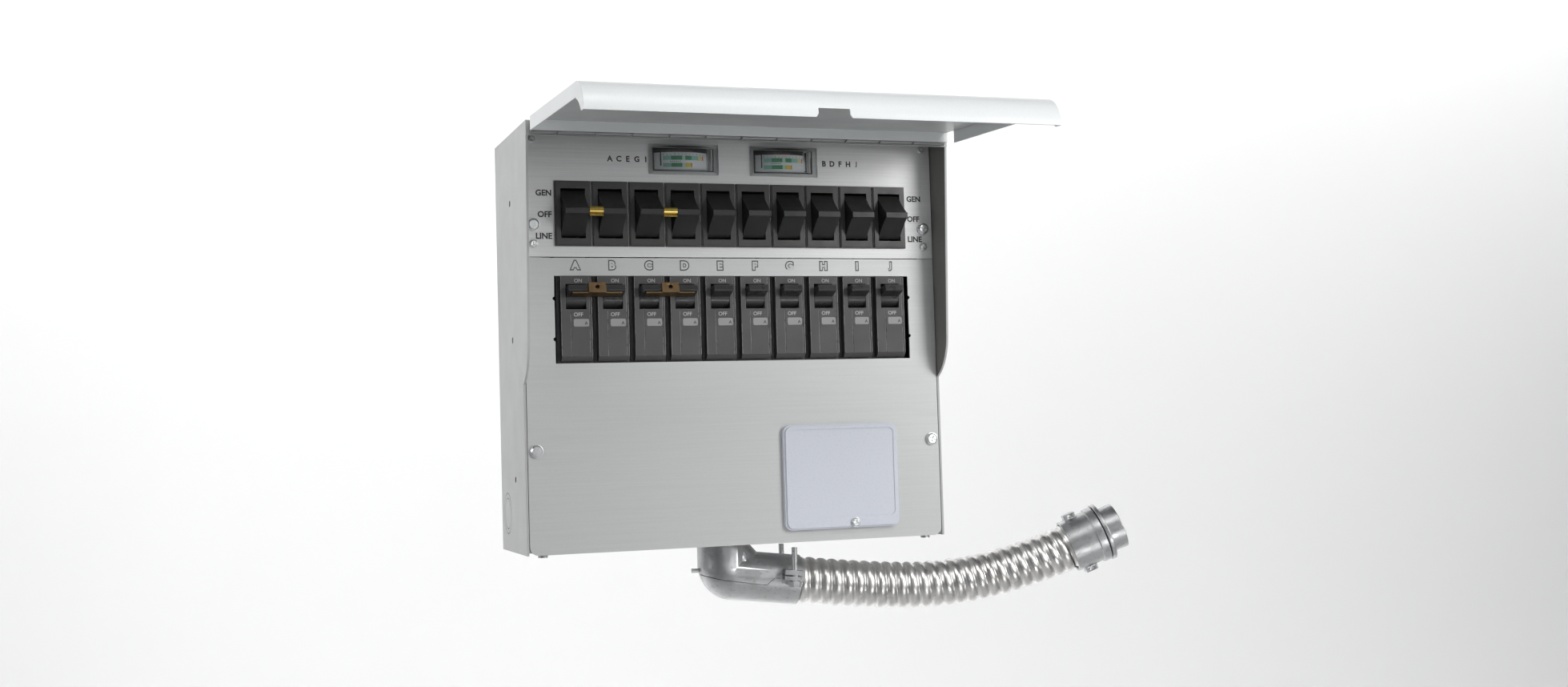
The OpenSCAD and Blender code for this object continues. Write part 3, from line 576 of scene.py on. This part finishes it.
SOFTEN = {
    "door": 0.45,
    "inlet_cover": 0.5, "switch_housings": 0.4, "meter_cases": 0.2, "meter_lenses": 0.5,
    "whip_connector": 0.5, "elbow_locknut": 0.3, "breaker_rail": 0.3, "terminal_bars": 0.4,
    "hinge_leaf_fixed": 0.15, "hinge_leaf_door": 0.15, "cover_screws": 0.25, "panel_screws": 0.25,
    "elbow_screws": 0.25, "rocker_tie_ab": 0.15, "rocker_tie_cd": 0.15,
    "handle_tie_ab": 0.12, "handle_tie_cd": 0.12, "elbow_saddle": 0.35, "elbow_body": 0.35,
}
for letter in LETTERS.lower():
    SOFTEN["rocker_" + letter] = 0.6
    SOFTEN["breaker_" + letter] = 0.45
    SOFTEN["handle_" + letter] = 0.45

for name, node in NODES.items():
    if node.hide_render:
        continue
    mat = BEZEL if name == "switch_housings" else MAT[SLOT[name]]
    if node.material_slots:
        for s in node.material_slots:
            s.material = mat
    else:
        node.data.materials.append(mat)
    if name in SOFTEN:
        soften(node, SOFTEN[name] * MM)

# ---- Printed labels ------------------------------------------------------------------------

PANEL_Y = -89 * MM
BREAKER_PITCH = 25.4 * MM
BREAKER_X = [(k - 4.5) * BREAKER_PITCH for k in range(10)]
# How far print stands off the sheet, and the heights of the two letter rows
PRINT_LIFT = 0.00002
TOP_LIFT = 0.00004
SWITCH_LETTER_Z = 123.2 * MM
BREAKER_LETTER_Z = 50.3 * MM


def labels():
    dark = Parts()
    rows = (("GEN", 99), ("OFF", 84.5), ("LINE", 69.9))
    for text, z in rows:
        mesh = text_mesh(text, 4.2 * MM, 0.035)
        half = mesh["width"] / 2
        dark.mesh(mesh, on_front(-129.3 * MM - half, PANEL_Y - PRINT_LIFT, z * MM))
        dark.mesh(mesh, on_front(130.2 * MM + half, PANEL_Y - PRINT_LIFT, z * MM))
    # Switch letters beside each meter, evenly spaced
    for text, x0, x1 in (("ACEGI", -88.4, -63.2), ("BDFHJ", 67.4, 91.8)):
        for i, letter in enumerate(text):
            mesh = text_mesh(letter, 4 * MM, 0.035)
            x = x0 + (x1 - x0) * i / 4
            dark.mesh(mesh, on_front(x * MM, PANEL_Y - PRINT_LIFT, SWITCH_LETTER_Z))
    dark.make("panel_labels", "enclosure", DARK_INK)
    outer = Parts()
    inner = Parts()
    for k, letter in enumerate(LETTERS):
        x = BREAKER_X[k] + (0.2 + 0.12 * k) * MM
        cap = 5.7 * MM
        big = text_mesh(letter, cap + 1.5 * MM, 0.125, 0.00006)
        small = text_mesh(letter, cap - 0.1 * MM, 0.045, 0.00009)
        outer.mesh(big, on_front(x, PANEL_Y - PRINT_LIFT, BREAKER_LETTER_Z))
        inner.mesh(small, on_front(x, PANEL_Y - TOP_LIFT, BREAKER_LETTER_Z))
    outer.make("letter_outlines", "enclosure", OUTLINE_INK)
    inner.make("letter_faces", "enclosure", WHITE_INK)


labels()

# ---- Breaker markings ----------------------------------------------------------------------

NOSE_Y = -90 * MM


def breaker_marks():
    text = Parts()
    plates = Parts()
    amps = Parts()
    wear_and_highlight_strips = Parts()
    rng = random.Random(11)
    on = text_mesh("ON", 2.6 * MM, 0.02)
    off = text_mesh("OFF", 2.7 * MM, 0.02)
    amp = text_mesh("A", 2.2 * MM, 0.03)
    # Sideways places of the moulded edges drawn pale: part wear, part painted highlight
    edges = (-10.3, -3.9, 9.15, 10.7)
    for x in BREAKER_X:
        text.mesh(on, on_front(x + 1.6 * MM, NOSE_Y - 0.00005, 39.8 * MM))
        text.mesh(off, on_front(x + 1.4 * MM, NOSE_Y - 0.00005, 16.9 * MM))
        outline = rounded_outline(-2 * MM, 8.8 * MM, 8.6 * MM, 13.9 * MM, 1.1 * MM)
        plates.slab([(x + u, z) for u, z in outline], NOSE_Y - 0.00015, NOSE_Y + 0.0004)
        amps.mesh(amp, on_front(x + 6.6 * MM, NOSE_Y - 0.00018, 11.1 * MM))
        for u in edges:
            top = 19.2 if u == -3.9 else 42.2
            z = -10.8
            while z < top - 1:
                end = min(z + rng.uniform(1.5, 9), top)
                half = rng.uniform(0.05, 0.16) * MM
                if u == 9.15 and z < 14.5 and end > 8:
                    z = 14.5
                    continue
                middle = x + u * MM
                wear_and_highlight_strips.box(
                    (middle - half, NOSE_Y - TOP_LIFT, z * MM),
                    (middle + half, NOSE_Y + 0.0002, end * MM),
                )
                z = end + rng.choice((0, 0, 0.4, 1.5))
    text.make("breaker_on_off", "enclosure", PALE_INK)
    plates.make("breaker_rating_windows", "enclosure", WINDOW)
    amps.make("breaker_amp_marks", "enclosure", OUTLINE_INK)
    wear_and_highlight_strips.make("breaker_edge_wear_and_highlights", "enclosure", WEAR_AND_HIGHLIGHT_INK)


breaker_marks()

# ---- Meters --------------------------------------------------------------------------------

METER_X = (-36.5 * MM, 36.6 * MM)
METER_AXIS_Y = -55.1 * MM
METER_Z = 123.5 * MM
SCALE_R = (36.5 + 0.62) * MM


def scale_strip(parts, cx, x0, x1, z0, z1, lift=0.06 * MM):
    """A thin printed strip on the curved scale between two sideways places."""
    steps = max(2, int(abs(x1 - x0) / (1.5 * MM)))
    inner, outer = SCALE_R, SCALE_R + lift
    rings = []
    for i in range(steps + 1):
        x = x0 + (x1 - x0) * i / steps
        a = math.asin(x / SCALE_R)
        rings.append([
            (cx + r * math.sin(a), METER_AXIS_Y - r * math.cos(a), METER_Z + z)
            for r, z in ((inner, z0), (outer, z0), (outer, z1), (inner, z1))
        ])
    parts.rings(rings)


def meter_faces():
    upper = (2.4 * MM, -0.5 * MM)
    lower = (-2.6 * MM, -5.4 * MM)
    bars = {
        "scale_teal": (TEAL, ((-14.6, -9.2, upper), (-14.6, -9.2, lower), (5.2, 10.2, upper))),
        "scale_green": (GREEN, ((-9.2, -1.6, upper), (-9.2, -1.6, lower), (0.6, 5.2, upper))),
        # Painted reflection: the pale band between the greens stands in for a light mirrored in the lens
        "scale_reflection_band": (SCALE_REFLECTION_INK, ((-1.6, 0.6, upper), (-1.6, 0.6, lower))),
        "scale_cream": (CREAM, ((10.2, 13.4, upper),)),
        "scale_yellow": (YELLOW, ((0.6, 4.9, lower),)),
        "scale_red": (RED, ((13.4, 14.2, upper), (4.9, 5.5, lower))),
    }
    for name, (mat, strips) in bars.items():
        parts = Parts()
        for cx in METER_X:
            for x0, x1, (z1, z0) in strips:
                scale_strip(parts, cx, x0 * MM, x1 * MM, z0, z1)
        parts.make(name, "enclosure", mat)
    ticks = Parts()
    for cx in METER_X:
        for i in range(12):
            x = (-14.4 + 28.6 * i / 11) * MM
            scale_strip(ticks, cx, x - 0.12 * MM, x + 0.12 * MM, 2.7 * MM, (4 if i % 3 == 0 else 3.4) * MM)
        for i in range(6):
            x = (-9.6 + 6.6 * i / 5) * MM
            scale_strip(ticks, cx, x - 0.35 * MM, x + 0.35 * MM, -1.8 * MM, -1.2 * MM)
        scale_strip(ticks, cx, 16.9 * MM, 17.1 * MM, -6.6 * MM, 4.8 * MM)
    ticks.make("scale_ticks", "enclosure", OUTLINE_INK)


def meter_coils():
    """The wound bobbin that shows above each scale."""
    wound = Parts()
    cheeks = Parts()
    for cx in METER_X:
        place = Matrix.Translation((cx, -86 * MM, METER_Z + 6 * MM)) @ Matrix.Rotation(math.pi / 2, 4, "Y")
        turns = 26
        half = 7 * MM
        profile = [(0.2 * MM, -half)]
        for i in range(turns):
            at = -half + 2 * half * i / turns
            step = 2 * half / turns
            profile += [
                (0.72 * MM, at + 0.05 * step), (0.86 * MM, at + 0.5 * step), (0.72 * MM, at + 0.95 * step)
            ]
        profile.append((0.2 * MM, half))
        wound.lathe(profile, place, 16)
        for s in (-1, 1):
            x = cx + s * (half + 0.4 * MM)
            cheeks.box(
                (x - 0.4 * MM, -87 * MM, METER_Z + 5.05 * MM),
                (x + 0.4 * MM, -85 * MM, METER_Z + 6.9 * MM),
            )
    wound.make("meter_coil_winding", "enclosure", WINDING, True)
    cheeks.make("meter_coil_cheeks", "enclosure", MAT["meter_black"])


meter_coils()
meter_faces()

# ---- Stage and light -----------------------------------------------------------------------


def stage():
    s = Shader("stage_paper", (0.93, 0.93, 0.93), 0.9)
    s.tint(s.ramp(s.noise(3, 2), 0.4, 0.6, 0, 0.2), (0.91, 0.91, 0.91))
    floor_z, back_y, r = -1.1, 1.5, 0.5
    profile = [(-6, floor_z), (back_y - r, floor_z)]
    profile += [
        (back_y - r + r * math.sin(math.radians(a)), floor_z + r - r * math.cos(math.radians(a)))
        for a in range(10, 91, 10)
    ]
    profile.append((back_y, 4))
    n = len(profile)
    verts = [(x, y, z) for x in (-7, 7) for y, z in profile]
    faces = [(i, i + 1, n + i + 1, n + i) for i in range(n - 1)]
    mesh = bpy.data.meshes.new("backdrop")
    mesh.from_pydata(verts, [], faces)
    for p in mesh.polygons:
        p.use_smooth = True
    mesh.materials.append(s.mat)
    piece = bpy.data.objects.new("backdrop", mesh)
    bpy.context.scene.collection.objects.link(piece)


def area(name, at, target, size, power, spread=180, color=(1, 1, 1)):
    data = bpy.data.lights.new(name, "AREA")
    data.shape = "RECTANGLE"
    data.size, data.size_y = size
    data.energy = power
    data.color = color
    data.spread = math.radians(spread)
    lamp = bpy.data.objects.new(name, data)
    lamp.location = at
    lamp.rotation_euler = (Vector(target) - Vector(at)).to_track_quat("-Z", "Y").to_euler()
    bpy.context.scene.collection.objects.link(lamp)
    return lamp


def world():
    w = bpy.data.worlds.new("studio")
    w.use_nodes = True
    bg = w.node_tree.nodes["Background"]
    bg.inputs[0].default_value = (0.95, 0.97, 1, 1)
    bg.inputs[1].default_value = 0.14
    bpy.context.scene.world = w


stage()
world()
# Name, place, target, size, watts, spread: the backdrop's own light misses the object
area("key", (1.15, -1.6, 0.45), (0, 0, 0), (0.9, 0.9), 7, 110)
area("top_front", (0.1, -1.5, 1.5), (0, -0.1, 0.1), (1.2, 0.5), 3.2, 90)
area("left", (-1.8, -0.4, 0.5), (0, 0, 0), (0.8, 1.2), 3.2, 90)
area("low_card", (0.5, -1.2, -0.75), (0.08, 0, -0.15), (0.5, 0.25), 0.3, 60)
area("panel_fill", (-0.1, -1.4, 0.06), (0, -0.09, 0.11), (0.5, 0.3), 0.06, 28)
area("back_wash", (0, 1.0, 2.2), (0, 1.6, 0.2), (6.0, 0.4), 55, 70)

bpy.context.scene.view_settings.view_transform = "Standard"
